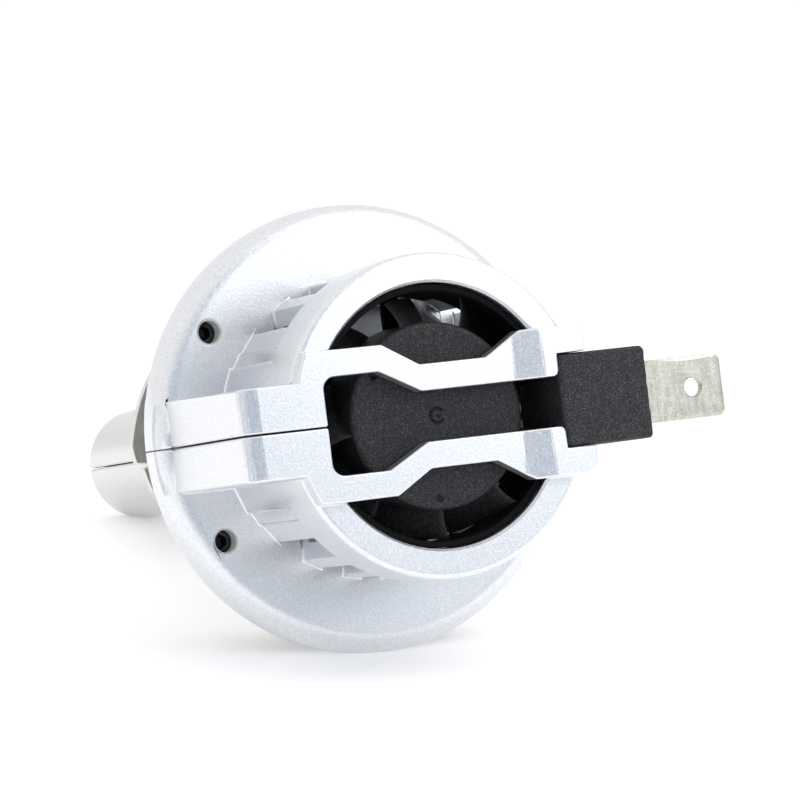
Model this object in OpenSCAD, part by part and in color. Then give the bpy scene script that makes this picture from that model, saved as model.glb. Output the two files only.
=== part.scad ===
// Fan-cooled LED headlight bulb with a side spade terminal, in millimetres.
// +Y points along the bulb's axis into the lamp, +Z is up, and the blade points along +X.
// The origin is on the axis, at the face of the mounting collar that rests on the lamp's seat.

/* [Collar] */
// Radius of the housing's front boss that the collar turns on
boss_r = 14.95; // [12.4:0.05:18]
// Running clearance between the collar and the boss
turn_fit = 0.07; // [0.04:0.01:0.12]
// Width of the collar from its bore to the outside of its spigot
collar_w = 3.98; // [3.3:0.02:4.8]
// How far the collar's disc stands out past the spigot
collar_lip = 1.1; // [0.9:0.1:1.4]
// Thickness of the collar's neck and spigot
neck_t = 0.8; // [0.6:0.1:1]
// Thickness of the sheet the collar is stamped from
collar_t = 0.9; // [0.7:0.1:1.2]
// How far the lugs stand out past the disc
lug_h = 1.9; // [1.2:0.1:2.4]
// Length of the spigot in front of the seating face
spigot_len = 3.0; // [2.4:0.1:4]

/* [Housing] */
// How far the round flange stands out past the collar's disc
flange_over = 2.57; // [2.2:0.01:3.2]
// Thickness of the flange
flange_t = 3.8; // [3:0.1:5]
// Radius of the flange's rounded rear edge
flange_round = 2.2; // [0.8:0.1:2.6]
// Gap between the flange and the collar disc
collar_gap = 5.1; // [4:0.1:6]
// Length of the barrel from the flange to the ring's rear face
barrel_len = 17.2; // [14.3:0.1:22]
// Wall of the fan ring
ring_wall = 2.95; // [2.6:0.05:3.4]
// Length of the fan ring
ring_len = 6.5; // [5.5:0.1:8]
// How far the vented barrel is set in from the ring's outside
ring_step = 0.7; // [0.6:0.05:0.9]
// Wall of the vented barrel
barrel_wall = 1.5; // [1.2:0.05:1.8]
// Gap at the seam between the two housing halves
seam_gap = 0.16; // [0.06:0.02:0.24]

/* [Vents] */
// Windows on each side of the middle, in each half of the barrel
vent_count = 3; // [1:1:3]
// Distance from the middle to the first window's centre
vent_first = 1.65; // [1.5:0.05:1.8]
// Distance from one window to the next
vent_pitch = 4.1; // [3.6:0.05:4.2]
// Width of a window
vent_w = 2.35; // [1.6:0.05:2.5]
// Length of barrel left between the windows and the ring
vent_end = 1.1; // [0.9:0.1:4]

/* [Bracket] */
// Thickness of the bracket arms, from their rear face to the ring's rear face
arm_rise = 1.6; // [1.2:0.1:2.4]
// How far the arms run in past the ring's rear face
arm_sink = 0.2; // [0.1:0.05:0.25]
// How far the leg's outer face is set in from the flange's rim
leg_in = 1.47; // [1.2:0.01:2.4]
// Half the height of the leg
leg_h = 4.45; // [4:0.05:5]
// How far the arms' ends stand past the sides of the block
tab_h = 2.7; // [2.2:0.1:3.4]
// Width of an arm bar
arm_w = 2.55; // [2.2:0.05:3]
// Half the height of the arms' waist
arm_waist = 5.05; // [4.8:0.05:5.4]
// Width of an arm at its waist
waist_w = 2.6; // [2.2:0.05:3]
// Length of block that the arms grip
grip = 3.1; // [2.7:0.1:3.9]
// How far the arms step back beside the block
tab_rise = 0.7; // [0.3:0.1:1]
// Length of the ramp up to that step
tab_ramp = 2.9; // [2:0.1:3.4]

/* [Terminal block] */
// Half the height of the block
block_h = 4.6; // [4.2:0.05:5.55]
// Length of the block along the blade
block_len = 9.7; // [8.5:0.1:12]
// Depth of the block along the bulb's axis
block_d = 9.7; // [8.1:0.1:11.6]
// How far the block stands out behind the arms
block_proud = 0.6; // [0.2:0.1:1.2]
// How far the block reaches in past the ring's bore
block_in = 0.65; // [0.5:0.05:0.9]
// Clearance between the block and the arms that hold it
block_fit = 0.05; // [0.03:0.01:0.1]
// Width of the spade blade
blade_w = 6.3; // [4.8:0.1:7.8]
// Thickness of the spade blade
blade_t = 0.8; // [0.6:0.1:1]
// Length of blade outside the block
blade_len = 10.75; // [8:0.05:13]
// Radius of the blade's corners
blade_round = 0.8; // [0.4:0.1:1.6]
// Radius of the detent hole in the blade
blade_hole_r = 0.95; // [0.7:0.05:1.1]

/* [Stem] */
// Radius of the LED stem
stem_r = 6.2; // [5.2:0.05:7.4]
// Distance from the seating face to the stem's tip
stem_tip = 55.4; // [46.2:0.2:66]
// Gap at the seam between the stem halves
stem_gap = 0.1; // [0.06:0.02:0.4]
// How far the stem's root is set in where it enters the boss
root_step = 0.8; // [0.6:0.1:1]
// Distance from the seating face to the middle of the LED window
led_mid = 34; // [30:0.5:38]
// Length of the LED window
window_len = 17; // [12:0.5:20]
// Half the width of the LED window
window_w = 3.0; // [2.6:0.1:3.6]
// Metal left between the copper core's edge and the outside of the root
core_edge = 0.8; // [0.6:0.1:1.2]
// Thickness of the copper core
core_t = 1.5; // [1.2:0.1:2]

/* [Fan] */
// Radius of the rotor hub
hub_r = 9.15; // [7.7:0.05:9.5]
// Clearance between the blade tips and the frame
tip_gap = 0.3; // [0.2:0.05:0.5]
// Rotor blades
blade_count = 9; // [7:1:11]
// Outer radius of the fan frame
frame_r = 12.8; // [12.2:0.05:15.35]
// Wall of the fan frame
frame_wall = 0.6; // [0.5:0.05:0.8]
// Depth of the fan frame
frame_d = 8.2; // [7.6:0.1:9]
// Clearance between the fan frame and the ring's bore
frame_fit = 0.15; // [0.1:0.05:0.25]
// Radius of the rotor shaft
shaft_r = 0.75; // [0.6:0.05:0.9]
// Running clearance between the shaft and its bearing
shaft_fit = 0.04; // [0.02:0.01:0.08]

/* [Screws] */
// Radius of the grub screws
grub_r = 1.15; // [1.05:0.05:1.35]
// Clearance around a grub screw in its hole
grub_fit = 0.05; // [0.03:0.01:0.1]
// How far the grub screws' axes are set in from the collar's edge
grub_in = 0.8; // [0.5:0.1:1.1]
// Radius of the case screws' threads
case_r = 1.0; // [0.8:0.05:1.2]

/* [Hidden] */
$fn = 96;
eps = 0.02;
collar_bore_r = boss_r + turn_fit;
spigot_r = collar_bore_r + collar_w;
collar_r = spigot_r + collar_lip;
flange_r = collar_r + flange_over;
leg_x = flange_r - leg_in;
grub_pcr = collar_r - grub_in;
ring_bore_r = frame_r + frame_fit;
ring_r = ring_bore_r + ring_wall;
barrel_r = ring_r - ring_step;
barrel_bore_r = barrel_r - barrel_wall;
vent_len = barrel_len - ring_len - vent_end;
vent_side = vent_first + (vent_count - 1) * vent_pitch + vent_w / 2;
vent_low = sqrt(pow(barrel_bore_r, 2) - pow(vent_side, 2)) - 0.23;
root_r = stem_r - root_step;
core_w = root_r - core_edge;
arm_out = block_h + tab_h;
flange_front = -collar_t - collar_gap;
flange_rear = flange_front - flange_t;
ring_rear = flange_rear - barrel_len;
ring_front = ring_rear + ring_len;
arm_rear = ring_rear - arm_rise;
arm_front = ring_rear + arm_sink;
boss_front = 1.5;
neck_rear = -3.6;
groove_r = boss_r - 1.05;
groove_y = -2.6;
groove_w = 1.3;
block_x = ring_bore_r - block_in;
arm_end = block_x + grip;
block_rear = arm_rear - block_proud;
block_front = block_rear + block_d;
blade_y = (block_rear + block_front) / 2;
root_rear = flange_rear + 1.8;
stem_fit = 0.05;
board_t = 1.6;
board_r = 8.6;
hub_rear = ring_rear + 0.55;
frame_rear = ring_rear + 0.8;
frame_front = frame_rear + frame_d;
board_y = frame_front + 1.0;
base_t = 0.8;
base_gap = 1.25;
frame_bore_r = frame_r - frame_wall;
tip_r = frame_bore_r - tip_gap;
cup_front = frame_front - base_t - base_gap;
cup_bore_r = hub_r - 0.95;
magnet_bore_r = cup_bore_r - 0.85;
stator_r = magnet_bore_r - 0.5;
tube_r = 2.4;
bearing_r = 1.55;
grub_up = 145;
grub_low = 210;
pad_rear = flange_rear + 0.8;
tab_x = block_x - 4.5;
tongue_w = 3;
cheek_r = ring_r - 0.15;
cheek_h = 7.1;
case_screw_y = [flange_rear - 3.6, ring_rear + 3.4];
case_screw_x = -leg_x + 3.0;
case_head_r = case_r + 0.9;
case_head_h = 1.4;
stem_screw_y = 12;
stem_screw_r = 0.8;

// Turns a shape drawn about Z so that it stands along +Y
module along_y() { rotate([-90, 0, 0]) children(); }

// A plain round bar along Y from y0 to y1
module bar(r, y0, y1) { translate([0, y0, 0]) along_y() cylinder(r = r, h = y1 - y0); }

// A tube along Y from y0 to y1
module tube(ro, ri, y0, y1) { difference() { bar(ro, y0, y1); bar(ri, y0 - 1, y1 + 1); } }

// A box between two corners
module block(a, b) { translate(a) cube(b - a); }

// Turns children about the bulb's axis, anticlockwise seen from behind
module spin(a) { rotate([0, -a, 0]) children(); }

// Keeps the part of a shape on one side of the seam
module half(up, gap) {
  difference() {
    children();
    if (up) block([-60, -60, -60], [60, 80, gap / 2]);
    else block([-60, -60, -gap / 2], [60, 80, 60]);
  }
}

// Quarter-round corner points from angle a0 to a1 about (cx, cy)
function arc(cx, cy, r, a0, a1, n) = [for (i = [0:n]) let(a = a0 + (a1 - a0) * i / n) [cx + r * cos(a), cy + r * sin(a)]];

// Outline of one bracket arm, seen from behind: x to the right, y up
module arm_outline() {
  inner = arm_out - arm_w;
  waist_in = arm_waist - waist_w;
  left = ring_bore_r - 0.45;
  polygon(concat(
    [[-leg_x, 0], [-leg_x, leg_h], [-sqrt(pow(ring_r - 0.1, 2) - leg_h * leg_h), leg_h]],
    [for (i = [1:6]) let(z = leg_h + (arm_out - leg_h) * i / 6) [-sqrt(pow(ring_r - 0.1, 2) - z * z), z]],
    [[6.5 - left, arm_out], [10.3 - left, arm_waist], [block_x - 7.4, arm_waist], [block_x - 3.6, arm_out]],
    arc(arm_end - 1.2, arm_out - 1.2, 1.2, 90, 0, 6),
    [[arm_end, block_h + block_fit], [block_x - block_fit, block_h + block_fit]],
    [[block_x - block_fit, waist_in + 0.6]],
    arc(block_x - block_fit - 0.6, waist_in + 0.6, 0.6, 0, -90, 4),
    [[10.2 - left, waist_in], [5.9 - left, inner]],
    arc(1.2 - left, inner - 1.2, 1.2, 90, 180, 6),
    [[-left, 0]]));
}

module arm(rear) { translate([0, arm_front, 0]) rotate([90, 0, 0]) linear_extrude(arm_front - rear) arm_outline(); }

// Both arms, with a ramp up to the thicker ends that hold the block
module arms() {
  for (m = [0, 1]) mirror([0, 0, m]) {
    arm(arm_rear);
    intersection() {
      arm(arm_rear - tab_rise);
      linear_extrude(arm_out + 2) polygon([[tab_x, arm_front], [tab_x, arm_rear + 0.01], [tab_x + tab_ramp, arm_rear - tab_rise], [arm_end + 1, arm_rear - tab_rise], [arm_end + 1, arm_front]]);
    }
  }
}

module leg() {
  translate([0, 0, -leg_h]) linear_extrude(2 * leg_h)
    polygon([[-leg_x, arm_rear + eps], [-leg_x, flange_rear + 0.5], [-13, flange_rear + 0.5], [-13, arm_rear + eps]]);
  // sloped pad where the leg's foot meets the flange's rim
  intersection() {
    bar(flange_r - 0.02, pad_rear - 1, flange_front - 0.4);
    translate([0, 0, -leg_h]) linear_extrude(2 * leg_h) polygon([
      [-flange_r - 1, flange_front], [-flange_r - 1, pad_rear + 1.3], [-leg_x, pad_rear - 0.3],
      [-leg_x + 0.5, pad_rear - 0.3], [-leg_x + 0.5, flange_front]]);
  }
}

// Sloped corner between the leg's outer face and the arms' rear face
module leg_corner() {
  translate([0, 0, -leg_h - 1]) linear_extrude(2 * leg_h + 2) polygon([
    [-leg_x - 1, arm_rear - 1], [-leg_x + 1.7, arm_rear - 1], [-leg_x + 1.7, arm_rear],
    [-leg_x + 0.6, arm_rear + 0.4], [-leg_x, arm_rear + 0.8], [-leg_x - 1, arm_rear + 0.8]]);
}

// Turned profile of the flange, barrel, ring and boss: radius, then distance along Y
module turned() {
  rotate([-90, 0, 0]) rotate_extrude() polygon(concat(
    [[root_r + stem_fit, boss_front], [root_r + stem_fit, flange_rear + 2.2], [barrel_bore_r - 0.9, flange_rear + 2.2],
     [barrel_bore_r - 0.9, flange_rear - 2.0], [barrel_bore_r, flange_rear - 2.0], [barrel_bore_r, ring_front - 0.9],
     [ring_bore_r, ring_front - 0.9], [ring_bore_r, ring_rear + 0.25]],
    [[ring_bore_r + 0.25, ring_rear]],
    arc(ring_r - 0.6, ring_rear + 0.6, 0.6, -90, 0, 5),
    arc(ring_r - 0.45, ring_front - 0.45, 0.45, 0, 90, 4),
    [[barrel_r, ring_front], [barrel_r, flange_rear]],
    arc(flange_r - flange_round, flange_rear + flange_round, flange_round, -90, 0, 8),
    [[flange_r, flange_front - 0.3], [flange_r - 0.3, flange_front], [boss_r, flange_front],
     [boss_r, groove_y], [groove_r, groove_y], [groove_r, groove_y + groove_w], [boss_r, groove_y + groove_w],
     [boss_r, boss_front - 0.5], [boss_r - 0.5, boss_front]]));
}

// Where the barrel is thicker beside the leg: a step, and a cheek on it
module cheek() {
  for (c = [[cheek_r, cheek_h], [barrel_r + 0.22, cheek_h + 1.35]])
    intersection() {
      tube(c[0], barrel_bore_r - 0.5, ring_rear + 0.7, flange_rear + 0.3);
      block([-30, -60, -c[1]], [-8, 0, c[1]]);
    }
}

// Windows with upright walls, as a two-part mould leaves them
module vents() {
  for (m = [0, 1]) mirror([0, 0, m]) for (n = [0, 1]) mirror([n, 0, 0]) for (i = [0:vent_count - 1])
    translate([vent_first + i * vent_pitch, flange_rear - vent_len, vent_low]) translate([-vent_w / 2, 0, 0]) cube([vent_w, vent_len, barrel_r + 1 - vent_low]);
}

module grub_place(a) { spin(a) translate([grub_pcr, 0, 0]) children(); }

module case_screw_holes(lower) {
  for (y = case_screw_y) {
    translate([case_screw_x, y, -leg_h - 1]) cylinder(r = case_r + 0.05, h = 2 * leg_h - 0.2);
    translate([case_screw_x, y, -leg_h - 1]) cylinder(r = case_head_r + 0.1, h = 1 + case_head_h + 0.1);
  }
}

module housing() {
  difference() {
    union() {
      turned();
      cheek();
      difference() {
        union() { arms(); leg(); }
        bar(ring_bore_r, ring_rear + arm_sink, ring_front);
        bar(barrel_bore_r, ring_front - 0.9, flange_rear - 2.0);
        bar(barrel_bore_r - 0.9, flange_rear - 2.1, flange_rear + 1);
      }
    }
    vents();
    leg_corner();
    grub_place(grub_up) bar(grub_r + grub_fit, flange_rear - 1, flange_front + 1);
    grub_place(grub_low) bar(grub_r + grub_fit, flange_rear - 1, flange_front + 1);
    // seat of the terminal block in the ring's right side
    block([block_x - block_fit, arm_rear - 2, -block_h - block_fit], [ring_r + 1, block_front + block_fit, block_h + block_fit]);
    // way in for the leads
    block([block_x - 2.3, block_front - 1, -1.6], [ring_r + 1, block_front + 0.6, 1.6]);
    case_screw_holes();
  }
}

module upper_housing() { color("silver") half(true, seam_gap) housing(); }
module lower_housing() { color("silver") half(false, seam_gap) housing(); }

// Height of the collar's edge at an angle a past the start of a lug: a ramp, a drop, and a short tooth
function lug(a) = a < 26 ? (lug_h + 0.1) * pow(max(a, 0) / 26, 0.8) - 0.1 : a < 31.2 ? lug_h * (1 - 0.035 * (a - 26)) : a < 31.9 ? -0.1 : a < 40 ? lug_h * (0.52 - 0.03 * (a - 32)) : -0.1;

module mounting_collar() {
  color("gainsboro") {
    rotate([-90, 0, 0]) rotate_extrude() polygon([
      [spigot_r - neck_t, -collar_t], [collar_r, -collar_t], [collar_r, 0], [spigot_r, 0],
      [spigot_r, spigot_len - 0.3], [spigot_r - 0.3, spigot_len], [collar_bore_r, spigot_len], [collar_bore_r, neck_rear],
      [collar_bore_r + neck_t, neck_rear], [collar_bore_r + neck_t, spigot_len - neck_t], [spigot_r - neck_t, spigot_len - neck_t]]);
    for (g = [152, 272, 32]) spin(g)
      rotate([90, 0, 0]) linear_extrude(collar_t) polygon(concat(
        [for (i = [0:52]) let(a = i * 0.8) [(collar_r + lug(a)) * cos(a), (collar_r + lug(a)) * sin(a)]],
        [for (i = [10:-1:0]) let(a = i * 4.16) [(collar_r - 0.6) * cos(a), (collar_r - 0.6) * sin(a)]]));
  }
}

module boss_seal_ring() {
  color("dimgray") translate([0, groove_y + groove_w / 2, 0]) along_y() rotate_extrude() translate([boss_r - 0.53, 0]) circle(r = 0.5, $fn = 32);
}

// Both stem halves before they are cut apart
module stem() {
  difference() {
    union() {
      rotate([-90, 0, 0]) rotate_extrude() polygon(concat(
        [[0, root_rear], [root_r, root_rear], [root_r, boss_front + 0.05], [stem_r - 0.3, boss_front + 0.05], [stem_r, boss_front + 0.35]],
        arc(stem_r - 1.4, stem_tip - 1.4, 1.4, 0, 90, 8),
        [[0, stem_tip]]));
    }
    // channel for the copper core
    block([-core_w - 0.05, root_rear - 1, -core_t / 2 - 0.05], [core_w + 0.05, stem_tip - 2, core_t / 2 + 0.05]);
    // windows over the chips, above and below
    block([-window_w, led_mid - window_len / 2, -stem_r - 1], [window_w, led_mid + window_len / 2, stem_r + 1]);
    // heat grooves across the stem's root
    for (y = [5, 7.5]) translate([0, y, 0]) tube(stem_r + 1, stem_r - 0.5, 0, 1);
    translate([0, stem_screw_y, -stem_r - 1]) cylinder(r = stem_screw_r + 0.05, h = 2 * stem_r - 1);
    translate([0, stem_screw_y, -stem_r - 1]) cylinder(r = stem_screw_r * 1.9 + 0.05, h = 2.4);
  }
}

module stem_upper() { color("lightgray") half(true, stem_gap) stem(); }
module stem_lower() { color("lightgray") half(false, stem_gap) stem(); }

module led_core() {
  color("peru") difference() {
    union() {
      block([-core_w, flange_rear - 1.2, -core_t / 2], [core_w, stem_tip - 2.1, core_t / 2]);
      block([-tongue_w, board_y - 0.3, -core_t / 2], [tongue_w, flange_rear - 1.2 + eps, core_t / 2]);
    }
    translate([0, stem_screw_y, -5]) cylinder(r = stem_screw_r + 0.05, h = 10);
  }
}

module led_row() {
  block([-2.4, led_mid - window_len / 2 + 0.4, core_t / 2], [2.4, led_mid + window_len / 2 - 0.4, core_t / 2 + 0.35]);
  for (i = [-3:3]) translate([0, led_mid + i * 2.1, core_t / 2 + 0.35 - eps]) block([-1.1, -0.85, 0], [1.1, 0.85, 0.4 + eps]);
}

module leds_upper() { color("gold") led_row(); }
module leds_lower() { color("gold") mirror([0, 0, 1]) led_row(); }

module driver_board() {
  color("darkgreen") difference() {
    bar(board_r, board_y, board_y + board_t);
    block([-tongue_w - 0.1, board_y - 1, -core_t / 2 - 0.1], [tongue_w + 0.1, board_y + board_t + 1, core_t / 2 + 0.1]);
  }
}

module driver_parts() {
  y = board_y + board_t;
  color("black") {
    translate([0, y, 4.6]) along_y() cylinder(r = 2.3, h = 3.2);
    block([-3.2, y, -5.6], [1.6, y + 1.3, -2.4]);
    block([3.4, y, -4.6], [5.2, y + 1.0, -3.4]);
    block([4.6, y, 1.4], [6.6, y + 1.6, 3.2]);
    block([-6.8, y, 1.2], [-4.2, y + 1.2, 3.4]);
    block([-6.4, y, -1.6], [-5.2, y + 0.8, 0.2]);
  }
}

module fan_frame() {
  color("dimgray") difference() {
    union() {
      tube(frame_r, frame_bore_r, frame_rear, frame_front);
      bar(7.4, frame_front - base_t, frame_front);
      bar(tube_r, hub_rear + 2.2, frame_front - base_t + eps);
      for (a = [30:60:330]) spin(a) block([6, frame_front - base_t, -0.9], [frame_bore_r + 0.2, frame_front, 0.9]);
    }
    bar(bearing_r + 0.01, hub_rear, frame_front - 0.4);
    // side openings of the frame's front end
    for (a = [60, 120, 240, 300]) spin(a) block([frame_bore_r - 1.2, frame_front - 2.4, -2.4], [frame_r + 1.2, frame_front + 1, 2.4]);
    // flat for the terminal block
    block([block_x - 0.3, frame_rear - 1, -block_h - 0.1], [frame_r + 1, frame_front + 1, block_h + 0.1]);
  }
}

module fan_rotor() {
  color("#1c1c1e") {
    difference() {
      rotate([-90, 0, 0]) rotate_extrude() polygon(concat(
        [[0, hub_rear]], arc(hub_r - 0.5, hub_rear + 0.5, 0.5, -90, 0, 5),
        [[hub_r, cup_front], [cup_bore_r, cup_front], [cup_bore_r, hub_rear + 1.0], [0, hub_rear + 1.0]]));
      bar(shaft_r, hub_rear + 0.5, cup_front);
    }
    for (i = [0:blade_count - 1]) spin(i * 360 / blade_count + 12.1) intersection() {
      tube(tip_r, hub_r - 0.3, hub_rear + 0.3, cup_front);
      translate([hub_r - 1, (hub_rear + cup_front) / 2, 0]) rotate([-42, 0, 0]) block([0, -6, -0.35], [5, 6, 0.35]);
    }
  }
}

module fan_magnet() { color("gray") tube(cup_bore_r - 0.01, magnet_bore_r, hub_rear + 1.1, cup_front - 0.3); }
module fan_shaft() { color("silver") bar(shaft_r - 0.01, hub_rear + 0.55, frame_front - 0.7); }
module fan_bearing() { color("goldenrod") tube(bearing_r, shaft_r - 0.01 + shaft_fit, hub_rear + 2.2, frame_front - 0.9); }

module fan_stator() {
  color("slategray") difference() {
    union() {
      tube(3.4, tube_r + 0.02, hub_rear + 2.6, cup_front - 1.2);
      for (a = [0:90:270]) spin(a) {
        block([3.2, hub_rear + 2.6, -0.9], [stator_r - 0.6, cup_front - 1.2, 0.9]);
        intersection() {
          tube(stator_r, stator_r - 0.8, hub_rear + 2.6, cup_front - 1.2);
          block([1, hub_rear + 2, -3.2], [stator_r + 1, cup_front, 3.2]);
        }
      }
    }
    bar(tube_r + 0.02, hub_rear, frame_front);
  }
}

module fan_coils() {
  color("chocolate") for (a = [0:90:270]) spin(a) difference() {
    block([3.6, hub_rear + 2.0, -1.7], [stator_r - 1.2, cup_front - 0.6, 1.7]);
    block([3, hub_rear + 2.6 - 0.02, -0.92], [stator_r, cup_front - 1.2 + 0.02, 0.92]);
  }
}

module fan_board() { color("darkgreen") tube(stator_r - 0.1, tube_r + 0.05, cup_front - 0.4, cup_front + 0.3); }

module terminal_block() {
  x0 = block_x; x1 = block_x + block_len;
  color("#18181a") difference() {
    union() {
      translate([0, 0, -block_h]) linear_extrude(2 * block_h) polygon([
        [x0, block_rear + 0.35], [x0 + 0.35, block_rear], [x1 - 0.35, block_rear], [x1, block_rear + 0.35], [x1, block_front], [x0, block_front]]);
    }
    block([x0 + 2, blade_y - blade_t / 2, -blade_w / 2], [x1 + 1, blade_y + blade_t / 2, blade_w / 2]);
    for (z = [-0.85, 0.85]) translate([x0 + 0.9, block_front - 2.5, z]) along_y() cylinder(r = 0.5, h = 4, $fn = 24);
  }
}

module spade_blade() {
  x0 = block_x + 2.05; x1 = block_x + block_len + blade_len; c = blade_round; h = blade_w / 2;
  color("lightgray") translate([0, blade_y + blade_t / 2, 0]) rotate([90, 0, 0]) linear_extrude(blade_t) difference() {
    polygon(concat([[x0, -h]], arc(x1 - c, c - h, c, -90, 0, 5), arc(x1 - c, h - c, c, 0, 90, 5), [[x0, h]]));
    translate([x1 - 3.5, 0]) circle(r = blade_hole_r, $fn = 48);
  }
}

module inner_leads() {
  color("#202022") for (z = [-0.85, 0.85]) {
    x = block_x + 0.9; r = 0.42; y1 = board_y - 0.6;
    translate([x, block_front - 2.4, z]) along_y() cylinder(r = r, h = y1 - block_front + 2.4, $fn = 24);
    translate([x, y1, z]) sphere(r = r, $fn = 24);
    translate([7.2, y1, z]) rotate([0, 90, 0]) cylinder(r = r, h = x - 7.2, $fn = 24);
    translate([7.2, y1, z]) sphere(r = r, $fn = 24);
    translate([7.2, y1, z]) along_y() cylinder(r = r, h = board_y - 0.02 - y1, $fn = 24);
  }
}

module grub_screw() {
  difference() {
    union() {
      bar(grub_r, flange_rear + 1.5, -collar_t - 0.4);
      bar(grub_r - 0.35, -collar_t - 0.4 - eps, -collar_t - 0.05);
    }
    translate([0, flange_rear, 0]) along_y() rotate(30) cylinder(r = 0.75, h = 3.0, $fn = 6);
  }
}

module grub_screw_upper() { color("#222222") grub_place(grub_up) grub_screw(); }
module grub_screw_lower() { color("#222222") grub_place(grub_low) grub_screw(); }

module case_screws() {
  color("gray") for (y = case_screw_y) translate([case_screw_x, y, -leg_h + 0.05]) difference() {
    union() {
      cylinder(r = case_head_r, h = case_head_h);
      cylinder(r = case_r, h = 2 * leg_h - 1.6);
    }
    for (a = [0, 90]) rotate(a) translate([-1.1, -0.25, -1]) cube([2.2, 0.5, 1.7]);
  }
}

module stem_screws() {
  color("gray") translate([0, stem_screw_y, -stem_r + 0.15]) difference() {
    union() {
      cylinder(r = stem_screw_r * 1.9, h = 1.1);
      cylinder(r = stem_screw_r, h = 2 * stem_r - 2.6);
    }
    for (a = [0, 90]) rotate(a) translate([-0.9, -0.2, -1]) cube([1.8, 0.4, 1.6]);
  }
}

mounting_collar();
boss_seal_ring();
upper_housing();
lower_housing();
stem_upper();
stem_lower();
led_core();
leds_upper();
leds_lower();
driver_board();
driver_parts();
fan_frame();
fan_rotor();
fan_magnet();
fan_shaft();
fan_bearing();
fan_stator();
fan_coils();
fan_board();
terminal_block();
spade_blade();
inner_leads();
grub_screw_upper();
grub_screw_lower();
case_screws();
stem_screws();
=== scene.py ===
import math
import bmesh
import bpy
import numpy as np
from mathutils import Matrix, Vector


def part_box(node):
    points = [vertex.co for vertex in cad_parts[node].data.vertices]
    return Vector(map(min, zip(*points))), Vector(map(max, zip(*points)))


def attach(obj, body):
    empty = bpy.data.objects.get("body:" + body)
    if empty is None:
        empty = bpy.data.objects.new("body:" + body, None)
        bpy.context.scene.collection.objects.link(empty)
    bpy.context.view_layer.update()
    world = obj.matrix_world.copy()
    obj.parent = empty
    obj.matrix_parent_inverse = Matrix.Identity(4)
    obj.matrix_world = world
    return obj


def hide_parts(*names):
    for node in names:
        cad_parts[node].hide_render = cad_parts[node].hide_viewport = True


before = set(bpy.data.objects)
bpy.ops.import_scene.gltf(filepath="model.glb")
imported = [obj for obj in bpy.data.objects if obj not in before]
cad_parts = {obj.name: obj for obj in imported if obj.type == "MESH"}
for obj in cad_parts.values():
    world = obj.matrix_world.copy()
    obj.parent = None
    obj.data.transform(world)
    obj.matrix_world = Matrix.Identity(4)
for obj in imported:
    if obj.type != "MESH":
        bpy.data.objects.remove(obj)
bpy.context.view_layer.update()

# Camera: behind the bulb and to its left, a little below its axis, turned slightly on its side.
# Its place is worked out from the ring's rear face, which lies 27 mm behind the collar's seat.
MM = 0.001
yaw, pitch, roll = map(math.radians, (24.76, -1.33, 6.95))
aim = Matrix.Rotation(roll, 3, "Z") @ Matrix.Rotation(pitch, 3, "X") @ Matrix.Rotation(yaw, 3, "Y")


def from_behind(v):
    """Turns a direction given as right, up, towards the viewer into the bulb's own axes: x is right,
    y is away and z is up."""
    return Vector((v[0], -v[2], v[1]))


hub_set_in = 0.55
stand_off = Vector((3.86, -1.45, -400.0))
ring_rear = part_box("fan_rotor")[0][1] / MM - hub_set_in
eye = from_behind(-(aim.transposed() @ stand_off)) + Vector((0, ring_rear, 0))
facing = Matrix([from_behind(row) for row in aim]).transposed().to_4x4()
camera = bpy.data.objects.new("camera", bpy.data.cameras.new("camera"))
bpy.context.scene.collection.objects.link(camera)
camera.matrix_world = Matrix.Translation(eye * MM) @ facing
camera.data.sensor_width = 36.0
camera.data.lens = 186.12
camera.data.clip_start = 0.01
bpy.context.scene.camera = camera

# Mounting collar: a pressed steel disc with three hooked lugs, a short spigot and a neck that
# turns on the housing's boss. It is stamped and drawn from sheet, then zinc plated.


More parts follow.
